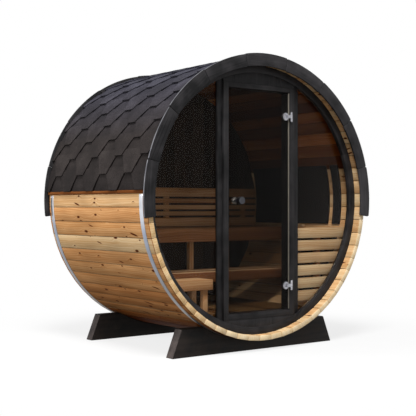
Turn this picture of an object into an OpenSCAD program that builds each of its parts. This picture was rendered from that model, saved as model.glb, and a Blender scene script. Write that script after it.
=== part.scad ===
// Barrel sauna with a glass front: round stave cabin lying on two cradles.
// Millimetres, +Z up, front of the cabin towards -Y, origin at the bottom centre.

/* [Barrel] */
// Outer diameter of the stave barrel
barrel_diameter = 2000; // [1600:10:2400]
// Length of the staves along the barrel
barrel_length = 1376; // [1100:4:2400]
// Thickness of a stave
stave_thickness = 38; // [28:1:60]
// Height of the lowest stave above the ground
ground_clearance = 76; // [40:1:160]

/* [Roof] */
// Thickness of the shingle covering with its underlay
roof_thickness = 14; // [8:1:30]
// Angle of the shingle edge above the horizontal, seen from the front
roof_edge_angle = 3.5; // [1:0.1:20]
// Height of the eave batten as an angle
eave_batten_angle = 1.25; // [0.8:0.05:3]
// Thickness of the eave batten
eave_batten_thickness = 11; // [6:1:30]

/* [Fascia boards] */
// Boards in each arch
fascia_board_count = 9; // [5:2:13]
// Half angle that an arch covers, from the top
fascia_half_angle = 97; // [80:0.1:110]
// How far the boards reach inside the barrel's outer surface
fascia_inside = 52; // [40:1:90]
// How far the boards stand proud of the barrel's outer surface
fascia_outside = 37; // [18:1:60]
// Thickness of a fascia board
fascia_thickness = 16; // [12:1:40]
// Open joint between two fascia boards
fascia_joint = 2; // [1:0.5:6]

/* [Steel bands] */
// Width of a steel band
band_width = 43; // [20:1:60]
// Thickness of a steel band
band_thickness = 2; // [1:0.1:4]
// Distance from the barrel's front edge to its band
front_band_inset = 56; // [20:1:150]
// Distance from the barrel's rear edge to its band
rear_band_inset = 28; // [20:1:150]

/* [Cradles] */
// Height of a cradle above the ground
cradle_height = 194; // [120:1:300]
// Half the width of a cradle on the ground
cradle_half_base = 735; // [500:1:900]
// Half the width of a cradle along its top
cradle_half_top = 658; // [500:1:880]
// Thickness of a cradle along the barrel
cradle_thickness = 81; // [40:1:160]
// Distance from the barrel's end to the cradle
cradle_inset = 100; // [60:1:400]

/* [Front wall] */
// Distance from the barrel's front edge to the front wall
front_recess = 65; // [30:1:200]
// Depth of the front wall's timbers
front_wall_depth = 95; // [60:1:140]
// Width of the round frame against the staves
ring_width = 54; // [30:1:90]
// Depth of the round frame
ring_depth = 38; // [36:1:95]
// Width of a post beside the door frame
post_width = 40; // [30:1:90]
// Setback of these posts behind the round frame's front face
post_recess = 11; // [0:1:40]
// Thickness of the header and threshold panels
panel_thickness = 45; // [20:1:80]
// Setback of the glass behind the wall's front face
glass_setback = 24; // [2:1:50]
// Thickness of the fixed panes and the door leaf
glass_thickness = 8; // [5:1:12]

/* [Door] */
// Width of the opening in the door frame
door_opening_width = 570; // [450:5:800]
// Space between the door frame's top corners and the round frame
head_margin = 23; // [2:1:200]
// Space between the door frame's bottom corners and the round frame
sill_margin = 2; // [2:1:200]
// Width of a jamb
jamb_width = 45; // [30:1:80]
// Height of the door frame's head rail
head_height = 35; // [25:1:60]
// Height of the door frame's sill rail
sill_height = 40; // [25:1:60]
// How far the door frame stands in front of the wall
frame_proud = 4; // [2:1:40]
// Clearance around the door leaf
door_clearance = 6; // [5:0.5:12]
// Setback of the leaf behind the door frame's front face
leaf_setback = 4; // [2:0.5:20]
// Diameter of a door knob
knob_diameter = 52; // [30:1:80]
// Length of a knob from the glass
knob_length = 58; // [35:1:90]
// Length of a knob's thin neck
knob_neck = 20; // [5:1:40]
// Distance from the leaf's free edge to the knob
knob_inset = 72; // [40:1:120]
// Height of the knob above the floor
knob_height = 794; // [600:1:1200]

/* [Hinges] */
// Height of a hinge
hinge_height = 72; // [50:1:120]
// Distance from the leaf's end to a hinge's centre
hinge_inset = 172; // [80:1:400]
// Radius of a hinge knuckle
knuckle_radius = 7; // [5:0.5:12]
// Radius of a hinge pin
pin_radius = 4; // [2:0.5:6]
// Running clearance around a hinge pin
pin_clearance = 0.3; // [0.2:0.05:0.6]
// Gap between two knuckles
knuckle_gap = 1; // [0.5:0.1:3]
// Distance from the edge of the doorway to the pins' axis
hinge_offset = 3; // [0:0.5:10]
// Gap between the door frame's front face and a knuckle
hinge_standoff = 3; // [1:0.5:10]
// Diameter of the round clamp on the glass
clamp_diameter = 56; // [40:1:80]
// Thickness of a clamp disc
clamp_thickness = 8; // [4:0.5:15]
// Distance from the leaf's edge to a clamp disc
clamp_inset = 7; // [0:0.5:20]
// Height of the arm between the clamp and the middle knuckle
arm_height = 24; // [12:1:48]
// Width of the plate on the jamb
plate_width = 16; // [12:1:40]
// Thickness of the plate on the jamb
plate_thickness = 5; // [3:0.5:8]

/* [Rear wall and floor] */
// Distance from the barrel's rear edge to the rear wall
rear_recess = 65; // [30:1:200]
// Thickness of the rear wall
rear_wall_thickness = 38; // [20:1:70]
// Height of the floor's top above the inside of the lowest stave
floor_height = 162; // [100:1:260]
// Thickness of the floor boards
floor_thickness = 22; // [15:1:40]
// Gap between the floor's long edges and the staves
floor_end_gap = 2; // [1:1:20]
// Width of a floor bearer
bearer_width = 60; // [30:1:120]

/* [Benches] */
// Height of the upper seat above the floor
upper_seat_height = 584; // [450:1:700]
// Depth of the upper bench from the rear wall to its front
upper_bench_depth = 473; // [350:1:600]
// Height of the upper bench's front board
upper_apron_height = 106; // [50:1:160]
// Height of the lower seat above the floor
lower_seat_height = 261; // [240:1:400]
// Gap between the step and the lower bench
lower_bench_gap = 50; // [5:1:200]
// Depth of the lower bench
lower_bench_depth = 350; // [250:1:450]
// Height of the lower bench's front board
lower_apron_height = 71; // [50:1:160]
// Thickness of the seat boards
seat_thickness = 28; // [18:1:45]
// Thickness of the benches' front boards
apron_thickness = 28; // [18:1:45]
// Side of a square post
post_size = 40; // [30:1:70]
// Gap between the lower bench and the upper bench's post
post_setback = 53; // [5:1:80]
// Gap between the upper bench's front board and its post
post_apron_gap = 75; // [5:1:150]
// Width of a ledger under a seat's end
ledger_width = 45; // [30:1:80]

/* [Step] */
// Height of the step above the floor
step_height = 231; // [150:1:350]
// Distance from the barrel's front edge to the step
step_start = 250; // [200:1:400]
// Depth of the step
step_depth = 200; // [150:1:300]
// How far the step's inner end reaches past the edge of the doorway
step_overlap = 4; // [0:1:60]
// Distance from the step's inner end to its legs
step_leg_inset = 30; // [0:1:80]
// Height of the step's front board
step_apron_height = 74; // [40:1:100]

/* [Backrest] */
// Gap between the upper seat and the backrest
backrest_lift = 4; // [2:1:60]
// Gap between the backrest's ends and the staves
backrest_end_gap = 13; // [5:1:60]
// Distance from the backrest's end to its outer cleats
cleat_inset = 105; // [40:1:300]
// Height of the wide slats at the top and bottom
wide_slat = 74; // [40:1:120]
// Height of a narrow slat
narrow_slat = 38; // [30:1:90]
// Number of narrow slats
narrow_slat_count = 3; // [1:1:6]
// Gap between two backrest slats
backrest_gap = 14; // [4:1:30]
// Thickness of a slat
slat_thickness = 22; // [15:1:40]
// Thickness of a cleat behind the slats
cleat_thickness = 28; // [15:1:45]

/* [Guard and heat panel] */
// Number of slats in the guard
guard_slat_count = 6; // [3:1:10]
// Height of a guard slat
guard_slat = 78; // [40:1:120]
// Gap between two guard slats
guard_gap = 16; // [8:1:40]
// Height of the lowest guard slat above the floor
guard_lift = 43; // [10:1:120]
// Distance from the barrel's front edge to the guard
guard_start = 135; // [130:1:400]
// Distance from the edge of the doorway to the guard's free end
guard_setback = 80; // [10:1:200]
// Distance between the guard's two posts
guard_post_spacing = 275; // [150:1:400]
// Gap between the guard slats and the staves
guard_end_gap = 12; // [5:1:40]
// Thickness of the dark panel on the right-hand staves
heat_panel_thickness = 12; // [6:1:25]
// Gap between the dark panel and the rail under it
heat_panel_gap = 4; // [2:1:30]
// Upper edge of the dark panel as an angle from the horizontal
heat_panel_high = 17; // [5:0.5:40]
// Distance from the barrel's front edge to the narrow dark panel
narrow_panel_start = 210; // [180:1:400]
// Width of the narrow dark panel
narrow_panel_width = 85; // [40:1:150]
// Gap between the narrow and the wide dark panel
panel_spacing = 45; // [10:1:120]
// Gap between the wide dark panel and the rear wall
panel_rear_gap = 23; // [5:1:100]
// Height of the rail under the dark panel
panel_rail_height = 25; // [15:1:50]
// Width of the rail's underside on the staves
panel_rail_width = 32; // [20:1:60]
// Distance from the barrel's front edge to the rail
panel_rail_start = 610; // [400:1:800]

/* [Fits] */
// Seating clearance between fixed pieces
seat_gap = 0.3; // [0.1:0.05:0.5]

/* [Hidden] */
$fn = 128;
barrel_radius = barrel_diameter / 2;
inner_radius = barrel_radius - stave_thickness;
fit_radius = inner_radius - seat_gap;
axis_z = ground_clearance + barrel_radius;
front_edge = -barrel_length / 2;
rear_edge = barrel_length / 2;
past_barrel = barrel_radius * 1.2;

stave_arc = 30;
roof_arc_count = 5;
roof_arc = (180 - 2 * roof_edge_angle) / roof_arc_count;
fascia_arc = 2 * fascia_half_angle / fascia_board_count;
band_end_angle = roof_edge_angle - eave_batten_angle - 0.3;

wall_front = front_edge + front_recess;
wall_back = wall_front + front_wall_depth;
frame_front = wall_front - frame_proud;
ring_inner = fit_radius - ring_width;
ring_fit = ring_inner - seat_gap;
glass_front = wall_front + glass_setback;

floor_top = axis_z - inner_radius + floor_height;
half_opening = door_opening_width / 2;
half_frame = half_opening + jamb_width;
half_wall = half_frame + seat_gap + post_width;
frame_chord = sqrt(pow(ring_fit, 2) - pow(half_frame, 2));
frame_low = axis_z - frame_chord + sill_margin;
frame_high = axis_z + frame_chord - head_margin;
opening_low = frame_low + sill_height;
opening_high = frame_high - head_height;

leaf_front = frame_front + leaf_setback;
leaf_back = leaf_front + glass_thickness;
leaf_low = opening_low + door_clearance;
leaf_high = opening_high - door_clearance;
leaf_left = -half_opening + door_clearance;
leaf_right = half_opening - door_clearance;
hinge_x = half_opening + hinge_offset;
hinge_y = frame_front - knuckle_radius - hinge_standoff;
hinge_heights = [leaf_low + hinge_inset, leaf_high - hinge_inset];
clamp_x = leaf_right - clamp_diameter / 2 - clamp_inset;
knob_x = leaf_left + knob_inset;
knob_z = floor_top + knob_height;
knob_neck_diameter = knob_diameter * 0.42;

rear_wall_back = rear_edge - rear_recess;
rear_wall_front = rear_wall_back - rear_wall_thickness;
floor_underside = floor_top - floor_thickness;
floor_half = sqrt(pow(fit_radius, 2) - pow(axis_z - floor_underside, 2)) - floor_end_gap;

upper_front = rear_wall_front - upper_bench_depth;
upper_top = floor_top + upper_seat_height;
step_front = front_edge + step_start;
step_back = step_front + step_depth;
step_top_z = floor_top + step_height;
step_end = half_opening - step_overlap;
lower_front = step_back + lower_bench_gap;
lower_top = floor_top + lower_seat_height;
lower_back = lower_front + lower_bench_depth;
upper_post_y = max(lower_back + post_setback, upper_front + apron_thickness + post_apron_gap);

backrest_back = rear_wall_front - seat_gap - cleat_thickness - seat_gap;
backrest_height = 2 * wide_slat + narrow_slat_count * narrow_slat
    + (narrow_slat_count + 1) * backrest_gap;
backrest_z = upper_top + backrest_lift + backrest_height;
backrest_reach = max(abs(backrest_z - axis_z), abs(upper_top + backrest_lift - axis_z));
backrest_half_length = sqrt(pow(fit_radius, 2) - pow(backrest_reach, 2)) - backrest_end_gap;

guard_front = front_edge + guard_start;
guard_back = guard_front + slat_thickness;
guard_end = half_opening + guard_setback;
guard_pitch = guard_slat + guard_gap;
guard_z = floor_top + guard_lift + guard_slat_count * guard_pitch - guard_gap;
guard_radius = fit_radius - guard_end_gap;

panel_rail_top = upper_top + panel_rail_height;
panel_rail_reach = sqrt(pow(fit_radius, 2) - pow(axis_z - upper_top, 2));
heat_panel_inner = fit_radius - heat_panel_thickness;
heat_panel_low = -asin((axis_z - panel_rail_top - heat_panel_gap) / fit_radius);
narrow_panel_front = front_edge + narrow_panel_start;
narrow_panel_back = narrow_panel_front + narrow_panel_width;

// Piece of a ring around the barrel's axis, from y0 to y1 and from angle a0 to a1.
module arc_piece(r0, r1, y0, y1, a0, a1) {
    translate([0, 0, axis_z])
        rotate([90, 0, 0])
            rotate([0, 0, a0])
                rotate_extrude(angle = a1 - a0)
                    translate([r0, -y1])
                        square([r1 - r0, y1 - y0]);
}

// Box between two corners.
module box(low, high) {
    translate(low)
        cube(high - low);
}

// Round bar along the barrel's axis, used to shape pieces that meet the staves.
module barrel_core(r, y0, y1) {
    translate([0, y1, axis_z])
        rotate([90, 0, 0])
            cylinder(h = y1 - y0, r = r);
}

// Box trimmed to the round inside of the cabin.
module fitted_box(low, high, r = fit_radius) {
    intersection() {
        box(low, high);
        barrel_core(r, low[1] - 10, high[1] + 10);
    }
}

// Staves between two angles, with a seating gap at each end.
module stave_run(centre) {
    half = stave_arc / 2 - seat_gap / 2 / barrel_radius * 180 / PI;
    arc_piece(inner_radius, barrel_radius, front_edge, rear_edge, centre - half, centre + half);
}

module stave_pair(centre) {
    color("BurlyWood") {
        stave_run(centre);
        stave_run(180 - centre);
    }
}

module staves_top() {
    color("BurlyWood") stave_run(90);
}

module staves_upper() {
    stave_pair(60);
}

module staves_shoulder() {
    stave_pair(30);
}

module staves_side() {
    stave_pair(0);
}

module staves_haunch() {
    stave_pair(-30);
}

module staves_lower() {
    stave_pair(-60);
}

module staves_bottom() {
    color("BurlyWood") stave_run(-90);
}

// One field of the shingle covering, counted from the right-hand eave.
module roof_run(index) {
    r0 = barrel_radius + seat_gap;
    a0 = roof_edge_angle + index * roof_arc;
    trim = seat_gap / 2 / barrel_radius * 180 / PI;
    arc_piece(r0, r0 + roof_thickness, front_edge, rear_edge, a0 + trim, a0 + roof_arc - trim);
}

module roof_ridge() {
    color("DarkSlateGray") roof_run(2);
}

module roof_upper() {
    color("DarkSlateGray") {
        roof_run(1);
        roof_run(3);
    }
}

module roof_lower() {
    color("DarkSlateGray") {
        roof_run(0);
        roof_run(4);
    }
}

module eave_batten() {
    r0 = barrel_radius + seat_gap;
    a1 = roof_edge_angle - 0.02;
    arc_piece(r0, r0 + eave_batten_thickness, front_edge, rear_edge, a1 - eave_batten_angle, a1);
}

module eave_battens() {
    color("SaddleBrown") {
        eave_batten();
        mirror([1, 0, 0]) eave_batten();
    }
}

// Arch of fascia boards whose back face lies at y0.
module fascia_arch(y0) {
    r0 = barrel_radius - fascia_inside;
    r1 = barrel_radius + fascia_outside;
    trim = fascia_joint / 2 / barrel_radius * 180 / PI;
    for (i = [0 : fascia_board_count - 1]) {
        a0 = 90 - fascia_half_angle + i * fascia_arc;
        arc_piece(r0, r1, y0, y0 + fascia_thickness, a0 + trim, a0 + fascia_arc - trim);
    }
}

module fascia_front() {
    color("DimGray") fascia_arch(front_edge - seat_gap - fascia_thickness);
}

module fascia_rear() {
    color("DimGray") fascia_arch(rear_edge + seat_gap);
}

// Steel band from one eave, under the barrel, to the other.
module steel_band(y0) {
    r0 = barrel_radius + seat_gap;
    arc_piece(r0, r0 + band_thickness, y0, y0 + band_width,
        180 - band_end_angle, 360 + band_end_angle);
}

module steel_band_front() {
    color("Silver") steel_band(front_edge + front_band_inset);
}

module steel_band_rear() {
    color("Silver") steel_band(rear_edge - rear_band_inset - band_width);
}

// Cradle with slanted ends, hollowed to the barrel.
module cradle(y0) {
    difference() {
        translate([0, y0 + cradle_thickness, 0])
            rotate([90, 0, 0])
                linear_extrude(height = cradle_thickness)
                    polygon([[-cradle_half_base, 0], [cradle_half_base, 0],
                        [cradle_half_top, cradle_height], [-cradle_half_top, cradle_height]]);
        barrel_core(barrel_radius + seat_gap, y0 - 10, y0 + cradle_thickness + 10);
    }
}

module cradle_front() {
    color("DimGray") cradle(front_edge + cradle_inset);
}

module cradle_rear() {
    color("DimGray") cradle(rear_edge - cradle_inset - cradle_thickness);
}

// Eighth of the round frame of the front wall.
module ring_piece(centre) {
    half = 22.5 - seat_gap / 2 / ring_inner * 180 / PI;
    arc_piece(ring_inner, fit_radius, wall_front, wall_front + ring_depth,
        centre - half, centre + half);
}

module ring_crown() {
    color("DimGray") for (a = [45, 90, 135]) ring_piece(a);
}

module ring_sides() {
    color("DimGray") for (a = [0, 180]) ring_piece(a);
}

module ring_base() {
    color("DimGray") for (a = [225, 270, 315]) ring_piece(a);
}

module front_post() {
    x0 = half_frame + seat_gap;
    fitted_box([x0, wall_front + post_recess, axis_z - ring_inner],
        [x0 + post_width, wall_front + ring_depth, axis_z + ring_inner], ring_fit);
}

module front_posts() {
    color("DimGray") {
        front_post();
        mirror([1, 0, 0]) front_post();
    }
}

module header_panel() {
    color("DimGray")
        fitted_box([-half_frame, wall_front, frame_high + seat_gap],
            [half_frame, wall_front + panel_thickness, axis_z + ring_inner], ring_fit);
}

module threshold_panel() {
    color("DimGray")
        fitted_box([-half_frame, wall_front, axis_z - ring_inner],
            [half_frame, wall_front + panel_thickness, frame_low - seat_gap], ring_fit);
}

module door_jamb() {
    box([half_opening, frame_front, frame_low], [half_frame, wall_back, frame_high]);
}

module door_jambs() {
    color("DimGray") {
        door_jamb();
        mirror([1, 0, 0]) door_jamb();
    }
}

module door_head() {
    color("DimGray")
        box([-half_opening + seat_gap, frame_front, opening_high],
            [half_opening - seat_gap, wall_back, frame_high]);
}

module door_sill() {
    color("DimGray")
        box([-half_opening + seat_gap, frame_front, frame_low],
            [half_opening - seat_gap, wall_back, opening_low]);
}

module side_pane() {
    fitted_box([half_wall + seat_gap, glass_front, axis_z - ring_inner],
        [past_barrel, glass_front + glass_thickness, axis_z + ring_inner], ring_fit);
}

module side_panes() {
    color("SlateGray", 0.5) {
        side_pane();
        mirror([1, 0, 0]) side_pane();
    }
}

module door_glass() {
    color("SlateGray", 0.5)
        box([leaf_left, leaf_front, leaf_low], [leaf_right, leaf_back, leaf_high]);
}

// Knob that stands out of the glass towards -Y from y = 0.
module knob() {
    rotate([90, 0, 0]) {
        translate([0, 0, seat_gap])
            cylinder(h = knob_neck + 2, d = knob_neck_diameter);
        translate([0, 0, knob_neck])
            cylinder(h = knob_length - knob_neck, d = knob_diameter);
    }
}

module door_knobs() {
    color("Silver") {
        translate([knob_x, leaf_front, knob_z]) knob();
        translate([knob_x, leaf_back, knob_z]) mirror([0, 1, 0]) knob();
    }
}

// Knuckle of one hinge around the pin's axis, between two heights.
module knuckle(z0, z1) {
    translate([hinge_x, hinge_y, z0])
        cylinder(h = z1 - z0, r = knuckle_radius);
}

// Moving half of a hinge: middle knuckle, arm and the clamp discs on the glass.
module hinge_clamp(z) {
    disc_front = leaf_front - seat_gap - clamp_thickness;
    difference() {
        union() {
            knuckle(z - arm_height / 2, z + arm_height / 2);
            box([clamp_x, hinge_y - knuckle_radius + 1, z - arm_height / 2],
                [hinge_x, disc_front + 1, z + arm_height / 2]);
            translate([clamp_x, leaf_front - seat_gap, z])
                rotate([90, 0, 0])
                    cylinder(h = clamp_thickness, d = clamp_diameter);
        }
        translate([hinge_x, hinge_y, z - arm_height])
            cylinder(h = 2 * arm_height, r = pin_radius + pin_clearance);
    }
    translate([clamp_x, leaf_back + seat_gap + clamp_thickness, z])
        rotate([90, 0, 0])
            cylinder(h = clamp_thickness, d = clamp_diameter);
}

module door_hinge_clamps() {
    color("Silver") for (z = hinge_heights) hinge_clamp(z);
}

// Fixed half of a hinge: plate on the jamb, outer knuckles and the pin.
module hinge_plate(z) {
    plate_x = hinge_x + knuckle_radius - 4;
    middle = arm_height / 2 + knuckle_gap;
    union() {
        difference() {
            box([plate_x, frame_front - seat_gap - plate_thickness, z - hinge_height / 2],
                [plate_x + plate_width, frame_front - seat_gap, z + hinge_height / 2]);
            translate([hinge_x, hinge_y, z - middle])
                cylinder(h = 2 * middle, r = knuckle_radius + knuckle_gap);
        }
        knuckle(z - hinge_height / 2, z - middle);
        knuckle(z + middle, z + hinge_height / 2);
        translate([hinge_x, hinge_y, z - hinge_height / 2 + 2])
            cylinder(h = hinge_height - 4, r = pin_radius);
    }
}

module door_hinge_plates() {
    color("Silver") for (z = hinge_heights) hinge_plate(z);
}

module rear_wall() {
    color("BurlyWood") barrel_core(fit_radius, rear_wall_front, rear_wall_back);
}

module floor_boards() {
    color("Tan")
        box([-floor_half, wall_back + seat_gap, floor_underside],
            [floor_half, rear_wall_front - seat_gap, floor_top]);
}

module floor_bearers() {
    span = rear_wall_front - wall_back - 2 * bearer_width;
    color("Tan")
        for (i = [0 : 2]) {
            y0 = wall_back + bearer_width / 2 + i * span / 2;
            fitted_box([-past_barrel, y0, axis_z - fit_radius - 10],
                [past_barrel, y0 + bearer_width, floor_underside - seat_gap]);
        }
}

module upper_bench_seat() {
    color("Tan")
        fitted_box([-past_barrel, upper_front + apron_thickness + seat_gap, upper_top - seat_thickness],
            [past_barrel, rear_wall_front - seat_gap, upper_top]);
}

module upper_bench_apron() {
    color("Tan")
        fitted_box([-past_barrel, upper_front, upper_top - upper_apron_height],
            [past_barrel, upper_front + apron_thickness, upper_top]);
}

module upper_bench_post() {
    color("Tan")
        box([-post_size / 2, upper_post_y, floor_top + seat_gap],
            [post_size / 2, upper_post_y + post_size, upper_top - seat_thickness - seat_gap]);
}

// Ledger on the right-hand staves under a seat whose top lies at z1.
module ledger(z1, y0, y1) {
    z = z1 - seat_thickness - seat_gap;
    reach = sqrt(pow(fit_radius, 2) - pow(axis_z - z, 2));
    fitted_box([reach - 60, y0, z - ledger_width], [past_barrel, y1, z]);
}

module bench_ledgers() {
    color("Tan")
        for (side = [0, 1])
            mirror([side, 0, 0]) {
                ledger(upper_top, upper_front + apron_thickness + seat_gap,
                    rear_wall_front - seat_gap);
                ledger(lower_top, lower_front + apron_thickness + seat_gap, lower_back);
            }
}

module lower_bench_seat() {
    color("Tan")
        fitted_box([-past_barrel, lower_front + apron_thickness + seat_gap, lower_top - seat_thickness],
            [past_barrel, lower_back, lower_top]);
}

module lower_bench_apron() {
    color("Tan")
        fitted_box([-past_barrel, lower_front, lower_top - lower_apron_height],
            [past_barrel, lower_front + apron_thickness, lower_top]);
}

module step_seat() {
    color("Tan")
        fitted_box([-past_barrel, step_front + slat_thickness + seat_gap, step_top_z - seat_thickness],
            [-step_end, step_back, step_top_z]);
}

module step_apron() {
    color("Tan")
        fitted_box([-past_barrel, step_front, step_top_z - step_apron_height],
            [-step_end, step_front + slat_thickness, step_top_z]);
}

module step_legs() {
    x0 = -step_end - step_leg_inset - post_size;
    color("Tan")
        for (y0 = [step_front + slat_thickness + seat_gap, step_back - post_size])
            box([x0, y0, floor_top + seat_gap],
                [x0 + post_size, y0 + post_size, step_top_z - seat_thickness - seat_gap]);
}

// Backrest slat whose top edge lies at z1.
module backrest_slat(z1, height) {
    box([-backrest_half_length, backrest_back - slat_thickness, z1 - height],
        [backrest_half_length, backrest_back, z1]);
}

module backrest_slats() {
    narrow_top = backrest_z - wide_slat - backrest_gap;
    color("Tan") {
        backrest_slat(backrest_z, wide_slat);
        for (i = [0 : narrow_slat_count - 1])
            backrest_slat(narrow_top - i * (narrow_slat + backrest_gap), narrow_slat);
        backrest_slat(backrest_z - backrest_height + wide_slat, wide_slat);
    }
}

module backrest_cleats() {
    color("Tan")
        for (x = [-1, 0, 1] * (backrest_half_length - cleat_inset - post_size / 2))
            box([x - post_size / 2, backrest_back + seat_gap, backrest_z - backrest_height],
                [x + post_size / 2, rear_wall_front - seat_gap, backrest_z]);
}

module guard_slats() {
    color("Tan")
        for (i = [0 : guard_slat_count - 1])
            fitted_box([guard_end, guard_front, guard_z - i * guard_pitch - guard_slat],
                [past_barrel, guard_back, guard_z - i * guard_pitch], guard_radius);
}

module guard_posts() {
    color("Tan")
        for (x = [guard_end, guard_end + guard_post_spacing])
            fitted_box([x, guard_back + seat_gap, floor_top + seat_gap],
                [x + post_size, guard_back + seat_gap + post_size, guard_z - 6]);
}

module heat_panel() {
    color("DimGray") {
        arc_piece(heat_panel_inner, fit_radius, narrow_panel_front, narrow_panel_back,
            heat_panel_low, heat_panel_high);
        arc_piece(heat_panel_inner, fit_radius, narrow_panel_back + panel_spacing,
            rear_wall_front - panel_rear_gap, heat_panel_low, heat_panel_high);
    }
}

module heat_panel_rail() {
    color("Tan")
        fitted_box([panel_rail_reach - panel_rail_width, front_edge + panel_rail_start,
            upper_top + seat_gap],
            [past_barrel, backrest_back - slat_thickness - 2, panel_rail_top]);
}

staves_top();
staves_upper();
staves_shoulder();
staves_side();
staves_haunch();
staves_lower();
staves_bottom();
roof_ridge();
roof_upper();
roof_lower();
eave_battens();
fascia_front();
fascia_rear();
steel_band_front();
steel_band_rear();
cradle_front();
cradle_rear();
ring_crown();
ring_sides();
ring_base();
front_posts();
header_panel();
threshold_panel();
door_jambs();
door_head();
door_sill();
side_panes();
door_glass();
door_knobs();
door_hinge_clamps();
door_hinge_plates();
rear_wall();
floor_boards();
floor_bearers();
upper_bench_seat();
upper_bench_apron();
upper_bench_post();
bench_ledgers();
lower_bench_seat();
lower_bench_apron();
step_seat();
step_apron();
step_legs();
backrest_slats();
backrest_cleats();
guard_slats();
guard_posts();
heat_panel();
heat_panel_rail();
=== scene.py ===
import math
import random

import bmesh
import bpy
from mathutils import Matrix, Vector


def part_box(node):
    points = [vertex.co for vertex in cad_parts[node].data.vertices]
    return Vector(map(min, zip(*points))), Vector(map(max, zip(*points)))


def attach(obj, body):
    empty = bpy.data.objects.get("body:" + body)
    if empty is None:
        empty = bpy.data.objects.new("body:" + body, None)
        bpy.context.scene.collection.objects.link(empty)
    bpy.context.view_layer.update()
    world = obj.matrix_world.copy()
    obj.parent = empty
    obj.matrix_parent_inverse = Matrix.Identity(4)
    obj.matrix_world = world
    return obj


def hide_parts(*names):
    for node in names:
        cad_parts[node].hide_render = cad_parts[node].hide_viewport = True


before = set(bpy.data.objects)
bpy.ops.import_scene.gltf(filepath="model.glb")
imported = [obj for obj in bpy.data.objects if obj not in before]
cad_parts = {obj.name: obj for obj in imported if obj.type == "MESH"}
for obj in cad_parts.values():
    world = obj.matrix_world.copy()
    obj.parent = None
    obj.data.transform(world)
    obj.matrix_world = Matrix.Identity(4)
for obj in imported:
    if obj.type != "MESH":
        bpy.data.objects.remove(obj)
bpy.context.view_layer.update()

scene = bpy.context.scene
rng = random.Random(31)
mm = 0.001
seat = 0.3 * mm                      # seating gap between fixed pieces, as in the CAD

# The round body, read from the CAD nodes, in metres
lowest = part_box("staves_bottom")[0]
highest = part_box("staves_top")[1]
barrel = {
    "axis": (lowest.z + highest.z) / 2,
    "radius": (highest.z - lowest.z) / 2,
    "inner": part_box("rear_wall")[1].x,
    "front": lowest.y,
    "rear": highest.y,
}
barrel["length"] = barrel["rear"] - barrel["front"]
barrel["scribed"] = barrel["inner"] - 1 * mm       # the round that the boards inside are cut to
toBarrel = Matrix.Translation((0, 0, barrel["axis"]))


# materials, each a node tree built by add
def srgb(code):
    parts = [int(code[i:i + 2], 16) / 255 for i in (1, 3, 5)]
    return [c / 12.92 if c <= 0.04045 else ((c + 0.055) / 1.055) ** 2.4 for c in parts] + [1]


def add(owner, kind, inputs=None, stops=None, **settings):
    # one node, with its settings, its ramp stops, and a value or a link for each named input
    tree = owner.node_tree
    node = tree.nodes.new("ShaderNode" + kind)
    for name, value in settings.items():
        setattr(node, name, value)
    for name, value in (inputs or {}).items():
        if isinstance(value, bpy.types.Node):
            value = next(output for output in value.outputs if output.enabled)
        if isinstance(value, bpy.types.NodeSocket):
            tree.links.new(value, node.inputs[name])
        else:
            node.inputs[name].default_value = srgb(value) if isinstance(value, str) else value
    stops = list(stops or [])
    for position, colour in stops[2:]:
        node.color_ramp.elements.new(position)
    for i, (position, colour) in enumerate(stops):
        node.color_ramp.elements[i].position = position
        node.color_ramp.elements[i].color = srgb(colour)
    return node


def newMaterial(name):
    material = bpy.data.materials.new(name)
    material.use_nodes = True
    material.node_tree.nodes.clear()
    return material


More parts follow.
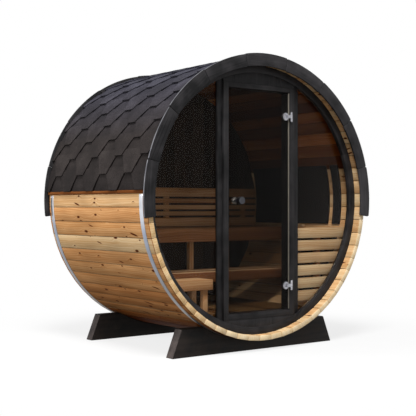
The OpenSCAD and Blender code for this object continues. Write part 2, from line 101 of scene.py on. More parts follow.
def planedWood(name, early, late, knot, grain=16, knots=0.075, seamShade=0.0):
    # Sawn and planed softwood: pale early wood, darker late wood in long wavy lines, brown knots that the
    # grain flows round. early and late run from the palest board to the darkest. grain is the spacing of
    # the lines in mm, several times wider than real rings so that it shows. seamShade darkens the eased
    # edges: painted shade, standing for the shade in the joints between boards.
    wood = newMaterial(name)
    place = add(wood, "Attribute", attribute_name="boardPlace").outputs["Vector"]
    tone = add(wood, "Attribute", attribute_name="boardTone").outputs["Fac"]
    edge = add(wood, "Attribute", attribute_name="boardEdge").outputs["Fac"]

    spots = []
    for scale, turn, size in (((4.3, 10.0, 0), 0.0, knots), ((3.1, 8.0, 0), 0.6, knots * 0.8)):
        # round knots, then slanting ones, every cell with a size of its own
        cell = add(wood, "Mapping", {"Vector": place, "Scale": scale, "Rotation": (0, 0, turn)})
        if turn:
            cell = add(wood, "Mapping", {"Vector": cell, "Scale": (0.45, 1.6, 1)})
        dots = add(wood, "TexVoronoi", {"Vector": cell, "Scale": 1.0}, voronoi_dimensions="2D")
        chance = add(wood, "SeparateColor", {"Color": dots.outputs["Color"]})
        reach = add(wood, "MapRange", {"Value": chance, "From Min": 0.25,
                    "To Min": 0.001, "To Max": size})
        near = add(wood, "Math", {0: dots, 1: reach}, operation="DIVIDE")
        spots.append(add(wood, "MapRange",
                    {"Value": near, "From Min": 0.6, "From Max": 1.15, "To Min": 1.0, "To Max": 0.0},
                    interpolation_type="SMOOTHSTEP"))
        if not turn:
            swirl = add(wood, "MapRange",
                    {"Value": near, "From Min": 0.5, "From Max": 4.0, "To Min": 0.016, "To Max": 0.0},
                    interpolation_type="SMOOTHSTEP")
    knotSpot = add(wood, "Math", {0: spots[0], 1: spots[1]}, operation="MAXIMUM")

    slow = add(wood, "Mapping", {"Vector": place, "Scale": (1.7, 9, 9)})
    wander = add(wood, "TexNoise", {"Vector": slow, "Scale": 1.0, "Detail": 1.0})
    sway = add(wood, "Math", {0: wander, 1: 0.045, 2: swirl}, operation="MULTIPLY_ADD")
    shift = add(wood, "CombineXYZ", {"Y": sway})
    bent = add(wood, "VectorMath", {0: place, 1: shift}, operation="ADD")

    rings = add(wood, "TexWave",
            {"Vector": bent, "Scale": 0.314 / (grain * mm), "Distortion": 2.2, "Detail": 2.0,
                "Detail Scale": 0.35}, wave_type="BANDS", bands_direction="Y", wave_profile="SAW")
    fine = add(wood, "Mapping", {"Vector": bent, "Scale": (5, 170, 170)})
    fibre = add(wood, "TexNoise", {"Vector": fine, "Scale": 1.0, "Detail": 3.0, "Roughness": 0.6})
    broad = add(wood, "Mapping", {"Vector": bent, "Scale": (0.9, 34, 34)})
    streak = add(wood, "TexNoise", {"Vector": broad, "Scale": 1.0})
    lines = add(wood, "Math", {0: rings.outputs["Fac"], 1: 0.34, 2: streak}, operation="MULTIPLY_ADD")
    lines = add(wood, "Math", {0: fibre, 1: 0.42, 2: lines}, operation="MULTIPLY_ADD")
    lateShare = add(wood, "MapRange", {"Value": lines, "From Min": 0.62, "From Max": 1.14})

    steps = [i / (len(early) - 1) for i in range(len(early))]
    pale = add(wood, "ValToRGB", {"Fac": tone}, stops=zip(steps, early))
    deep = add(wood, "ValToRGB", {"Fac": tone}, stops=zip(steps, late))
    body = add(wood, "Mix", {"Factor": lateShare, "A": pale, "B": deep}, data_type="RGBA")
    cloud = add(wood, "Mapping", {"Vector": place, "Scale": (2.4, 7, 7)})
    patch = add(wood, "TexNoise", {"Vector": cloud, "Scale": 1.0})
    shade = add(wood, "ValToRGB", {"Fac": patch}, stops=[(0.3, "#aaa298"), (0.7, "#ffffff")])
    clouded = add(wood, "Mix", {"Factor": 0.5, "A": body, "B": shade}, data_type="RGBA",
            blend_type="MULTIPLY")
    knotted = add(wood, "Mix", {"Factor": knotSpot, "A": clouded, "B": knot}, data_type="RGBA")
    # painted shade on the eased edges, where the joints between boards fall dark
    creaseShade = add(wood, "Math", {0: edge, 1: seamShade}, operation="MULTIPLY")
    colour = add(wood, "Mix", {"Factor": creaseShade, "A": knotted, "B": "#2c170a"}, data_type="RGBA")
    relief = add(wood, "Math", {0: lateShare, 1: knotSpot}, operation="SUBTRACT")
    bump = add(wood, "Bump", {"Height": relief, "Strength": 0.35, "Distance": 0.6 * mm})
    shader = add(wood, "BsdfPrincipled", {"Base Color": colour, "Roughness": 0.72, "Normal": bump,
                "Specular IOR Level": 0.02})
    add(wood, "OutputMaterial", {"Surface": shader})
    return wood


def stainedWood(name, dark, light, rough=0.6, depth=0.5, ridge=9):
    # Softwood under an opaque dark stain: only faint ridges of the grain and a slightly worn tone show.
    # ridge is their spacing in mm, coarser than the real grain so that it shows.
    paint = newMaterial(name)
    place = add(paint, "Attribute", attribute_name="boardPlace").outputs["Vector"]
    tone = add(paint, "Attribute", attribute_name="boardTone").outputs["Fac"]
    along = add(paint, "Mapping", {"Vector": place, "Scale": (2.5, 1000 / ridge, 1000 / ridge)})
    ridges = add(paint, "TexNoise", {"Vector": along, "Scale": 1.0, "Detail": 4.0, "Roughness": 0.62})
    worn = add(paint, "TexNoise", {"Vector": place, "Scale": 9.0, "Detail": 4.0})
    level = add(paint, "Math", {0: ridges, 1: 0.65, 2: worn}, operation="MULTIPLY_ADD")
    level = add(paint, "Math", {0: tone, 1: 0.45, 2: level}, operation="MULTIPLY_ADD")
    share = add(paint, "MapRange", {"Value": level, "From Min": 0.7, "From Max": 1.4})
    colour = add(paint, "ValToRGB", {"Fac": share}, stops=[(0.0, dark), (1.0, light)])
    gloss = add(paint, "MapRange",
            {"Value": worn, "From Min": 0.3, "From Max": 0.7, "To Min": rough - 0.08, "To Max": rough + 0.1})
    bump = add(paint, "Bump", {"Height": ridges, "Strength": depth, "Distance": 0.5 * mm})
    shader = add(paint, "BsdfPrincipled", {"Base Color": colour, "Roughness": gloss, "Normal": bump,
                "Specular IOR Level": 0.14})
    add(paint, "OutputMaterial", {"Surface": shader})
    return paint


def chippedFelt(name):
    # Bitumen shingle faced with crushed slate: matt and speckled, each tab a little lighter or darker, bluer
    # and lighter towards the ridge, painted sky light on the parts that face up. Real chips are about 1 mm,
    # drawn wider so that they show.
    chip = 5 * mm
    felt = newMaterial(name)
    place = add(felt, "TexCoord").outputs["Object"]
    tone = add(felt, "Attribute", attribute_name="boardTone").outputs["Fac"]
    chips = add(felt, "TexVoronoi", {"Vector": place, "Scale": 1 / chip})
    dust = add(felt, "TexNoise", {"Vector": place, "Scale": 7.0, "Detail": 5.0})
    speckle = add(felt, "SeparateColor", {"Color": chips.outputs["Color"]})
    level = add(felt, "Math", {0: speckle, 1: 0.42, 2: dust}, operation="MULTIPLY_ADD")
    level = add(felt, "Math", {0: tone, 1: 0.22, 2: level}, operation="MULTIPLY_ADD")
    share = add(felt, "MapRange", {"Value": level, "From Min": 0.42, "From Max": 1.2})
    low = add(felt, "ValToRGB", {"Fac": share},
            stops=[(0.0, "#151211"), (0.55, "#231e1d"), (1.0, "#342f2d")])
    high = add(felt, "ValToRGB", {"Fac": share},
            stops=[(0.0, "#1a1a22"), (0.55, "#292933"), (1.0, "#3e3e4a")])
    height = add(felt, "SeparateXYZ", {"Vector": place})
    # painted sky light: high up, where the roof faces the sky, the shingles turn lighter and bluer
    paintedHeightLight = add(felt, "MapRange", {"Value": height.outputs["Z"], "From Min": 1.5, "From Max": 2.05})
    colour = add(felt, "Mix", {"Factor": paintedHeightLight, "A": low, "B": high}, data_type="RGBA")
    bump = add(felt, "Bump", {"Height": chips, "Strength": 0.5, "Distance": 1.2 * mm})
    shader = add(felt, "BsdfPrincipled", {"Base Color": colour, "Roughness": 0.93, "Normal": bump,
                "Specular IOR Level": 0.15})
    add(felt, "OutputMaterial", {"Surface": shader})
    return felt


def rolledSteel(name, bright, dull, rough, brush, spread=14.0,
        heightReflection=((0.0, "#ffffff"), (1.0, "#ffffff"))):
    # Stainless steel strip, metal rim strip or a turned fitting: metal with fine lines from rolling or turning
    # and a patchy film of finger marks and weather. brush is how many lines there are to the metre.
    # heightReflection is the tint at heights from the ground up to 2 m: a painted reflection, dark ground below
    # and bright sky above.
    steel = newMaterial(name)
    place = add(steel, "TexCoord").outputs["Object"]
    fine = add(steel, "Mapping", {"Vector": place, "Scale": brush})
    lines = add(steel, "TexNoise", {"Vector": fine, "Scale": 1.0, "Detail": 3.0})
    film = add(steel, "TexNoise", {"Vector": place, "Scale": spread})
    gloss = add(steel, "Math", {0: lines, 1: 0.14, 2: rough - 0.07}, operation="MULTIPLY_ADD")
    gloss = add(steel, "Math", {0: film, 1: 0.06, 2: gloss}, operation="MULTIPLY_ADD")
    tint = add(steel, "ValToRGB", {"Fac": film}, stops=[(0.35, dull), (0.65, bright)])
    height = add(steel, "SeparateXYZ", {"Vector": place})
    level = add(steel, "MapRange", {"Value": height.outputs["Z"], "From Max": 2.0})
    # painted reflection by height: dark ground below, bright sky above
    paintedHeightLight = add(steel, "ValToRGB", {"Fac": level}, stops=heightReflection)
    colour = add(steel, "Mix", {"Factor": 1.0, "A": tint, "B": paintedHeightLight}, data_type="RGBA",
            blend_type="MULTIPLY")
    bump = add(steel, "Bump", {"Height": lines, "Strength": 0.12, "Distance": 0.2 * mm})
    shader = add(steel, "BsdfPrincipled", {"Base Color": colour, "Metallic": 1.0, "Roughness": gloss,
                "Normal": bump})
    add(steel, "OutputMaterial", {"Surface": shader})
    return steel


def smokedGlass(name, clear, cloudy):
    # Tempered smoked glass: smooth and grey all through, a little uneven in depth of colour. Its IOR is
    # below the usual 1.5, so that it stays as dark and clear as glass that faces a garden.
    pane = newMaterial(name)
    place = add(pane, "TexCoord").outputs["Object"]
    drift = add(pane, "TexNoise", {"Vector": place, "Scale": 1.6, "Detail": 1.0})
    tint = add(pane, "ValToRGB", {"Fac": drift}, stops=[(0.3, cloudy), (0.7, clear)])
    glass = add(pane, "BsdfPrincipled", {"Base Color": tint, "Roughness": 0.0, "IOR": 1.12,
                "Transmission Weight": 1.0})
    bare = add(pane, "BsdfTransparent", {"Color": "#f8f7f6"})
    ray = add(pane, "LightPath")
    passing = add(pane, "Math", {0: ray.outputs["Is Shadow Ray"], 1: ray.outputs["Is Diffuse Ray"]},
            operation="MAXIMUM")
    mixed = add(pane, "MixShader", {0: passing, 1: glass, 2: bare})
    add(pane, "OutputMaterial", {"Surface": mixed})
    return pane


def sealRubber(name):
    # Moulded silicone seal: soft, pale grey, slightly dusty.
    rubber = newMaterial(name)
    place = add(rubber, "TexCoord").outputs["Object"]
    dust = add(rubber, "TexNoise", {"Vector": place, "Scale": 60.0, "Detail": 3.0})
    colour = add(rubber, "ValToRGB", {"Fac": dust}, stops=[(0.3, "#68635a"), (0.7, "#7c766b")])
    shader = add(rubber, "BsdfPrincipled", {"Base Color": colour, "Roughness": 0.5})
    add(rubber, "OutputMaterial", {"Surface": shader})
    return rubber


staveWood = planedWood("sprucePlaned_oiled",
        ["#f0d8ae", "#e3b480", "#d38b4d", "#5c2f16"],
        ["#d8b07c", "#c78d55", "#a25926", "#421c0a"], "#54250f", knots=0.115, seamShade=0.95)
endWood = planedWood("spruceEndGrain_trimmed",
        ["#fdeac8", "#edcfa0"], ["#f6d9a8", "#d2a870"], "#6a3c1c", knots=0.02)
wallWood = planedWood("sprucePlaned_wall",
        ["#dcbd8d", "#cba26a", "#b5844c", "#9a6636"],
        ["#ba9059", "#a57641", "#8c5a2c", "#70411d"], "#4a220f", seamShade=0.6)
benchWood = planedWood("aspenPlaned_bench",
        ["#f2dcb4", "#dcb486", "#c69366", "#a06c47"],
        ["#dab282", "#ba8656", "#9d6a44", "#7c4f33"], "#6d4020", grain=18, knots=0.03, seamShade=0.6)
floorWood = planedWood("sprucePlaned_floor",
        ["#8a6e48", "#7a5d37", "#694b2b", "#593d20"],
        ["#6d502d", "#5d4022", "#4e3218", "#402610"], "#33170a", knots=0.05, seamShade=0.6)
battenWood = planedWood("pineTeak_stained",
        ["#986235", "#8a552c", "#7c4a24", "#6e3d1d"],
        ["#693b1d", "#5e3216", "#532b12", "#46240e"], "#3a1a0a", knots=0.03)
fasciaPaint = stainedWood("pineStained_charcoal", "#0e0e0f", "#3e3c3e")
cradlePaint = stainedWood("pineStained_black", "#0a0807", "#362f2b", depth=0.9, ridge=30)
# paler sawn ends: partly end grain, partly painted light where they face the sky
cradleEndLit = stainedWood("pineEndGrain_black", "#262120", "#685e5a", ridge=6)
framePaint = stainedWood("pinePainted_darkGrey", "#070708", "#353334", rough=0.5, depth=0.25)
wallStain = stainedWood("spruceStained_darkBrown", "#0d0a08", "#2c221b")
panelPaint = stainedWood("plywoodPainted_black", "#0f0e0e", "#1c1a1a", rough=0.7, depth=0.2)
shingleFelt = chippedFelt("bitumenShingle_slateChips")
# the height stops paint a reflection: dark ground low down, bluish and bright sky higher up
bandSteel = rolledSteel("stainlessStrip_rolled", "#f6f6f6", "#d6d6d8", 0.34, (60, 900, 60), spread=5.0,
        heightReflection=[(0.06, "#2c2723"), (0.16, "#8f8a86"), (0.3, "#9a9da4"), (0.42, "#a6afc0"),
            (0.5, "#e9ebf0")])
# light metal for the fascia's rim strip, a painted highlight for the glint along that rim
rimHighlightMetal = rolledSteel("metalStrip_rimHighlight", "#77777b", "#5b5b60", 0.45, (90, 400, 90))
hingeSteel = rolledSteel("brassChromed_polished", "#a9a9ae", "#86868c", 0.24, (500, 500, 500))
# blackened steel for the sheet behind the guard: painted shade in the gaps between the slats
shadeSheetSteel = rolledSteel("sheetSteel_paintedShade", "#1c1a19", "#121110", 0.5, (40, 300, 300))
# dark turned steel for the outside knob: a painted reflection of dark surroundings
knobDarkReflection = rolledSteel("steelTurned_darkReflection", "#4c4c50", "#38383c", 0.38, (500, 500, 500))
knobBright = rolledSteel("steelPolished_turned", "#f2f2f4", "#dedee2", 0.16, (500, 500, 500))
paneGlass = smokedGlass("glassTempered_smoked", "#e8e4df", "#e0dbd5")
leafGlass = smokedGlass("glassTempered_deepSmoked", "#94908b", "#8a8681")
sealStrip = sealRubber("siliconeMoulded_grey")
print("materials made")


# making pieces: cut a board, mark it for its grain, move it into place, join it to its piece
def at(x, y, z):
    return Matrix.Translation((x, y, z))


def turn(axis, degrees=90):
    return Matrix.Rotation(math.radians(degrees), 4, axis)


def ease(board, edges, radius, segments=2):
    bmesh.ops.bevel(board, geom=edges, offset=radius, segments=segments, profile=0.5, affect="EDGES",
            material=-1)


def cutThrough(board, point, normal, clear=False):
    # a plane cut, which can clear what lies beyond it
    bmesh.ops.bisect_plane(board, geom=board.verts[:] + board.edges[:] + board.faces[:], dist=1e-5,
            plane_co=point, plane_no=normal, clear_outer=clear)


def cutBoard(size, edge=2 * mm, segments=2):
    # a planed board centred on the origin, its length along X, with eased edges
    board = bmesh.new()
    bmesh.ops.create_cube(board, size=1)
    bmesh.ops.scale(board, vec=size, verts=board.verts)
    ease(board, board.edges[:], edge, segments)
    return board


def mark(board, tone=None, grain=None, edged=False):
    # stores each point's place in its own board (length, width, thickness), the board's tone, and where its
    # eased edges are
    where = board.verts.layers.float_vector.new("boardPlace")
    shade = board.verts.layers.float.new("boardTone")
    eased = board.verts.layers.float.new("boardEdge")
    start = Vector([rng.uniform(0, 20) for i in range(3)])
    tone = rng.random() if tone is None else tone
    half = [max(abs(v.co[a]) for v in board.verts) - 1e-6 for a in range(3)]
    axes = ["XYZ".index(a) for a in grain] if grain else [0] + sorted((1, 2), key=lambda a: -half[a])
    for vert in board.verts:
        vert[where] = Vector([vert.co[a] for a in axes]) + start
        vert[shade] = tone
        vert[eased] = 0 if not edged or any(abs(vert.co[a]) > half[a] for a in range(3)) else 1


def thicken(shape, offset):
    # makes a solid of a flat face
    body = bmesh.ops.extrude_face_region(shape, geom=shape.faces[:])
    moved = [v for v in body["geom"] if isinstance(v, bmesh.types.BMVert)]
    bmesh.ops.translate(shape, verts=moved, vec=offset)
    bmesh.ops.recalc_face_normals(shape, faces=shape.faces)


def join(piece, board):
    carrier = bpy.data.meshes.new("carrier")
    board.to_mesh(carrier)
    board.free()
    piece.from_mesh(carrier)
    bpy.data.meshes.remove(carrier)


def lay(piece, board, place=Matrix(), tone=None, grain=None, edged=False):
    mark(board, tone, grain, edged)
    bmesh.ops.transform(board, matrix=place, verts=board.verts)
    join(piece, board)


def finish(piece, name, material, body="sauna", nodes=()):
    bmesh.ops.recalc_face_normals(piece, faces=piece.faces)
    mesh = bpy.data.meshes.new(name)
    piece.to_mesh(mesh)
    piece.free()
    for face in mesh.polygons:
        face.use_smooth = True
    mesh.set_sharp_from_angle(angle=math.radians(32))
    for one in material if isinstance(material, (list, tuple)) else [material]:
        mesh.materials.append(one)
    made = bpy.data.objects.new(name, mesh)
    scene.collection.objects.link(made)
    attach(made, body)
    if nodes:
        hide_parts(*nodes)
    return made


def build(name, node, boards, material, tone=None, edged=False):
    # a piece of straight boards that takes the place of one node
    piece = bmesh.new()
    for board, place in boards:
        lay(piece, board, place, tone, edged=edged)
    return finish(piece, name, material, nodes=[node])


def boxBoard(low, high, along="X", edge=2 * mm):
    # a board that fills the box, its length along one axis, and the matrix that puts it there
    x, y, z = Vector(high) - Vector(low)
    size, stand = {"X": ((x, y, z), Matrix()), "Y": ((y, x, z), turn("Z")),
            "Z": ((z, y, x), turn("Y", -90))}[along]
    return cutBoard(size, edge), at(*(Vector(high) + Vector(low)) / 2) @ stand


def roundReach(height, radius):
    # half the chord of the round inside at a distance from its axis
    return math.sqrt(max(radius ** 2 - height ** 2, 0))


def fitted(low, high, along="X", radius=None, ends="both", edge=2 * mm, cuts=0):
    # a board whose ends are scribed to the round inside of the cabin
    radius = radius or barrel["scribed"]
    board, place = boxBoard(low, high, along, edge)
    half, *sides = [max(v.co[a] for v in board.verts) for a in range(3)]
    across = Vector((0, 1, 0)) if sides[0] > sides[1] else Vector((0, 0, 1))
    for i in range(1, cuts):
        # lengthwise cuts, so that a wide board's end follows the round
        cutThrough(board, across * max(sides) * (2 * i / cuts - 1), across)
    upright = along == "Z"
    centre = place.to_translation()
    shift = barrel["axis"] - centre.z if upright else -centre.x
    for vert in board.verts:
        side = 1 if vert.co.x > 0 else -1
        if ends == "high" and side < 0 or ends == "low" and side > 0:
            continue
        world = place @ vert.co
        limit = roundReach(world.x if upright else world.z - barrel["axis"], radius)
        vert.co.x = side * (limit - (half - abs(vert.co.x))) + shift
    return board, place


def arcBoard(r0, r1, y0, y1, angle, edge=2 * mm, steps=12, tips=()):
    # a curved board cut from the plank, centred on the +X side, its grain along Z. tips are the radii that
    # the corners of its lower and upper end are rounded to.
    board = bmesh.new()
    corners = [board.verts.new((r, y, 0)) for r, y in ((r0, y0), (r1, y0), (r1, y1), (r0, y1))]
    section = board.faces.new(corners)
    bmesh.ops.rotate(board, verts=board.verts, cent=(0, 0, 0), matrix=Matrix.Rotation(angle / 2, 3, "Y"))
    bmesh.ops.spin(board, geom=[section, *section.edges, *section.verts], cent=(0, 0, 0), axis=(0, -1, 0),
            angle=angle, steps=steps, use_merge=False, use_duplicate=False)
    bmesh.ops.remove_doubles(board, verts=board.verts, dist=1e-6)
    bmesh.ops.recalc_face_normals(board, faces=board.faces)
    for end, radius in zip((-1, 1), tips):
        corners = [e for e in board.edges if abs(e.verts[0].co.y - e.verts[1].co.y) > 1 * mm
                and all(end * math.atan2(v.co.z, v.co.x) > angle / 2 - 1e-3 for v in e.verts)]
        ease(board, corners, radius, 5)
    if edge:
        ease(board, [e for e in board.edges if e.calc_face_angle(0) > math.radians(50)], edge)
    return board


def atAngle(degrees):
    # turns a piece made on the +X side round the barrel's axis, upwards for a positive angle
    return toBarrel @ turn("Y", -degrees)


def turned(profile, steps=40):
    # a solid of revolution about Z from a profile of radius and height
    shape = bmesh.new()
    points = [shape.verts.new((r, 0, z)) for r, z in profile]
    wire = [shape.edges.new(pair) for pair in zip(points, points[1:])]
    bmesh.ops.spin(shape, geom=points + wire, cent=(0, 0, 0), axis=(0, 0, 1), angle=2 * math.pi,
            steps=steps, use_merge=True, use_duplicate=False)
    bmesh.ops.remove_doubles(shape, verts=shape.verts, dist=1e-6)
    bmesh.ops.recalc_face_normals(shape, faces=shape.faces)
    return shape


# staves
staves = {
    "count": 60,
    "joint": 1.2 * mm,
    "edge": 3.2 * mm,
    "thickness": barrel["radius"] - barrel["inner"],
    "play": 0.8 * mm,                 # room that lets each stave sit a little in or out
    "tongue": (12 * mm, 8 * mm),      # loose tongue in each joint, its height and width
    "insideTone": 0.0,                # the inside is pale, but darker high up behind the glass
    "roofFrom": 14,                   # where high up starts, in degrees over the axis
    "revealTone": 0.0,                # the same height in front of the glass
    "roofTone": 0.72,
    "endGrain": 12 * mm,              # length of the freshly trimmed ends, paler and without the painted shade at their edges
    "endTone": 0.2,
    "endsPale": (220, 250),           # the ends turn from dull to pale between these angles
    # tones of the staves from the side down to the bottom; from 60° below the side down they are dark, painted
    # shade under the barrel
    "tones": [0.2, 0.42, 0.35, 0.07, 0.42, 0.38, 0.43, 0.54, 0.52, 0.47, 0.8, 1.0, 1.0, 0.95, 0.9, 0.85],
}


def bendRound(board, angle):
    # sets a board's back on the round, its length along the barrel, and tapers it to the axis
    middle = barrel["radius"] - staves["thickness"] / 2 - staves["play"]
    for vert in board.verts:
        reach = middle + vert.co.z
        vert.co = Vector((reach, vert.co.x, vert.co.y * reach / barrel["radius"]))
    bmesh.ops.transform(board, matrix=atAngle(angle), verts=board.verts)


wall = bmesh.new()
pitch = 360 / staves["count"]
trimmed = barrel["length"] / 2 - staves["endGrain"]
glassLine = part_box("ring_sides")[0].y
for i in range(staves["count"]):
    angle = i * pitch
    below = min(angle - 180, 360 - angle)
    if angle <= 180:
        tone = staves["tones"][0] if angle == 180 else rng.uniform(0.15, 0.7)
    else:
        tone = staves["tones"][round(below / pitch)] + (rng.uniform(-0.1, 0.1) if angle > 270 else 0)
    width = 2 * barrel["radius"] * math.tan(math.radians(pitch / 2)) - staves["joint"]
    board = cutBoard((barrel["length"] - 1 * mm, width, staves["thickness"] - staves["play"]), staves["edge"])
    for cut in (-trimmed, trimmed, glassLine, glassLine + 1 * mm):
        cutThrough(board, (cut, 0, 0), (1, 0, 0))
    mark(board, tone, edged=True)
    shade = board.verts.layers.float["boardTone"]
    eased = board.verts.layers.float["boardEdge"]
    outside = max(vert.co.z for vert in board.verts) - 1e-6
    above = staves["roofFrom"] < angle < 180 - staves["roofFrom"]
    dull, pale = staves["endsPale"]
    for vert in board.verts:
        # steps of 0.618 and 0.382 spread the tones of neighbours without a random draw
        if vert.co.z < outside:
            tone = "insideTone" if not above else "roofTone" if vert.co.x > glassLine else "revealTone"
            vert[shade] = staves[tone] + 0.3 * (i * 0.618 % 1)
        if abs(vert.co.x) > trimmed + 1 * mm:
            vert[shade] = staves["endTone"] * (i * 0.382 % 1) + min(0.8, max(0, (pale - angle) / (pale - dull)))
            vert[eased] = 0
    bmesh.ops.translate(board, verts=board.verts, vec=(0, 0, rng.uniform(-0.5, 0.3) * mm))
    bendRound(board, angle)
    join(wall, board)
    tongue = cutBoard((barrel["length"] - 6 * mm, staves["tongue"][1], staves["tongue"][0]), 0.5 * mm, 1)
    mark(tongue, 0.9)
    bendRound(tongue, angle + pitch / 2)
    join(wall, tongue)
made = finish(wall, "barrelStaves", [staveWood, endWood],
        nodes=["staves_top", "staves_upper", "staves_shoulder", "staves_side", "staves_haunch",
            "staves_lower", "staves_bottom"])
for face in made.data.polygons:
    face.material_index = int(abs(face.normal.y) > 0.7)      # the trimmed ends
print("staves made")


# roof
roof = {
    "sheet": 6 * mm,
    "felt": 5 * mm,
    "lift": 9 * mm,                  # how far a tab's lower edge rides on the course below
    "eave": 3.5,                     # angle of the eave, in degrees
    "first": 3.0,
    "course": 7.12,
    "last": 88.0,
    "tabPitch": 0.3275,
    "flat": 0.090,
    "evenStart": 0.084,              # centre of a tab from the front edge, in the first course and every second
    "oddStart": 0.237,
    "lap": 0.045,
    "bendStep": 0.045,
}
roofBase = barrel["radius"] + seat + roof["sheet"]
courseRun = math.radians(roof["course"]) * barrel["radius"]


def bendOver(shape, base, side):
    # wraps a flat piece (along, up the slope, off the roof) over the barrel
    for vert in shape.verts:
        along, up, off = vert.co
        angle = up / barrel["radius"]
        reach = base + off
        vert.co = Vector((side * reach * math.cos(angle), barrel["front"] + along,
                    barrel["axis"] + reach * math.sin(angle)))


def plate(outline, thickness, step):
    # a flat plate cut off at both ends of the roof, with cross cuts so that it bends smoothly
    shape = bmesh.new()
    shape.faces.new([shape.verts.new((x, y, 0)) for x, y in outline])
    cuts = [((0.5 * mm, 0, 0), (-1, 0, 0), True), ((barrel["length"] - 0.5 * mm, 0, 0), (1, 0, 0), True),
            ((0, math.radians(roof["eave"]) * barrel["radius"], 0), (0, -1, 0), True)]
    low, high = min(y for x, y in outline), max(y for x, y in outline)
    cuts += [((0, low + i * step, 0), (0, 1, 0), False) for i in range(1, int((high - low) / step) + 1)]
    for point, normal, clear in cuts:
        cutThrough(shape, point, normal, clear)
    if shape.faces:
        thicken(shape, (0, 0, thickness))
    return shape


def tab(centre, bottom):
    # one tab of a shingle: a half hexagon below, a plain lap above, lifted at its lower edge
    flat, half = roof["flat"] / 2, roof["tabPitch"] / 2 - 0.4 * mm
    top, shoulder = bottom + courseRun + roof["lap"], bottom + courseRun
    outline = [(-flat, bottom), (flat, bottom), (half - flat, shoulder), (half, shoulder), (half, top),
            (-half, top), (-half, shoulder), (flat - half, shoulder)]
    shape = plate([(centre + x, y) for x, y in outline], roof["felt"], roof["bendStep"])
    for vert in shape.verts:
        share = min(1, max(0, (top - vert.co.y) / (top - bottom)))
        vert.co.z += roof["lift"] * share ** 1.2
    return shape


covering = bmesh.new()
tabCount = 0
for side in (-1, 1):
    for course in range(int((roof["last"] - roof["first"]) / roof["course"]) + 1):
        bottom = math.radians(roof["first"] + course * roof["course"]) * barrel["radius"]
        start = roof["evenStart"] if course % 2 == 0 else roof["oddStart"]
        for k in range(-1, 5):           # from one past the front edge to one past the rear
            shape = tab(start + k * roof["tabPitch"], bottom)
            tone = rng.random()
            if not shape.faces:
                shape.free()
                continue
            mark(shape, tone)
            bendOver(shape, roofBase, side)
            join(covering, shape)
            tabCount += 1

# ridge caps, each lapped over the one behind it
ridge = {"half": 0.135, "length": 0.31, "show": 0.172, "step": 0.02, "rise": 13 * mm, "tilt": 3.5 * mm}
capCount = math.ceil(barrel["length"] / ridge["show"])
crown = math.pi / 2 * barrel["radius"]
for i in range(capCount):
    low = i * barrel["length"] / capCount
    high = min(low + ridge["length"], barrel["length"])
    cap = plate([(low, crown - ridge["half"]), (high, crown - ridge["half"]), (high, crown + ridge["half"]),
                (low, crown + ridge["half"])], roof["felt"], ridge["step"])
    mark(cap)
    for vert in cap.verts:
        vert.co.z += ridge["rise"] + ridge["tilt"] * (1 - (vert.co.x - low) / ridge["length"])
    bendOver(cap, roofBase, 1)
    join(covering, cap)

# the underlay that carries the shingles
underlay = arcBoard(barrel["radius"] + seat, roofBase, barrel["front"] + 1 * mm, barrel["rear"] - 1 * mm,
        math.pi - 2 * math.radians(roof["eave"]), edge=0.8 * mm, steps=60)
lay(covering, underlay, atAngle(90), tone=0.2, grain="ZXY")
finish(covering, "roofShingles", shingleFelt, nodes=["roof_ridge", "roof_upper", "roof_lower"])
print("roof made,", tabCount, "tabs")

eave = {"high": 3.46, "low": 2.25, "thickness": 11 * mm}
battens = bmesh.new()
for side in (1, -1):
    middle = (eave["high"] + eave["low"]) / 2
    height = math.radians(eave["high"] - eave["low"]) * barrel["radius"]
    board = cutBoard((barrel["length"] - 1 * mm, eave["thickness"] - 1 * mm, height), 2 * mm)
    out = barrel["radius"] + seat + eave["thickness"] / 2
    stand = at(out, (barrel["front"] + barrel["rear"]) / 2, 0) @ turn("Z")
    lay(battens, board, atAngle(middle if side > 0 else 180 - middle) @ stand, tone=0.4)
finish(battens, "eaveBattens", battenWood, nodes=["eave_battens"])


# fascia boards, bands and cradles
fascia = {
    "boards": 9, "half": 97.0, "inside": 52 * mm, "outside": 37 * mm, "joint": 2 * mm, "edge": 3 * mm,
    "slip": [0.5, 4, 1, 4, 1, 4.5, 1, 4, 0.5],           # how far each board has sunk inwards, in mm
    "tail": 9 * mm, "corner": 4.5 * mm,                 # rounding of the two tails and of the other corners
    # tones run from light on the right tail to dark on the left boards: painted light that falls stronger on
    # the right
    "tones": [0.75, 0.28, 0.35, 0.38, 0.3, 0.05, 0.0, 0.0, 0.0],
    "strip": 1.2 * mm, "stripWidth": 10.5 * mm,         # light metal strip over the front boards' outer rim: a painted highlight for the glint along that rim
}
span = 2 * fascia["half"] / fascia["boards"]
trim = math.degrees(fascia["joint"] / barrel["radius"])
strip = bmesh.new()
for name, node in (("fasciaFront", "fascia_front"), ("fasciaRear", "fascia_rear")):
    low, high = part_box(node)
    arch = bmesh.new()
    for i in range(fascia["boards"]):
        inner = barrel["radius"] - fascia["inside"] - fascia["slip"][i] * mm
        outer = barrel["radius"] + fascia["outside"] - fascia["slip"][i] * mm
        tips = [fascia["tail"] if i == end else fascia["corner"] for end in (0, fascia["boards"] - 1)]
        place = atAngle(90 - fascia["half"] + (i + 0.5) * span)
        lay(arch, arcBoard(inner, outer, low.y + rng.uniform(0, 0.6) * mm, high.y, math.radians(span - trim),
                    fascia["edge"], tips=tips), place, fascia["tones"][i], "ZXY")
        if name == "fasciaFront":
            lay(strip, arcBoard(outer, outer + fascia["strip"], low.y, low.y + fascia["stripWidth"],
                        math.radians(span - trim) - sum(tips) / barrel["radius"], 0), place)
    finish(arch, name, fasciaPaint, nodes=[node])
# the rim strip is a painted highlight for the glint along the fascia's rim
finish(strip, "fasciaRimHighlight", rimHighlightMetal)

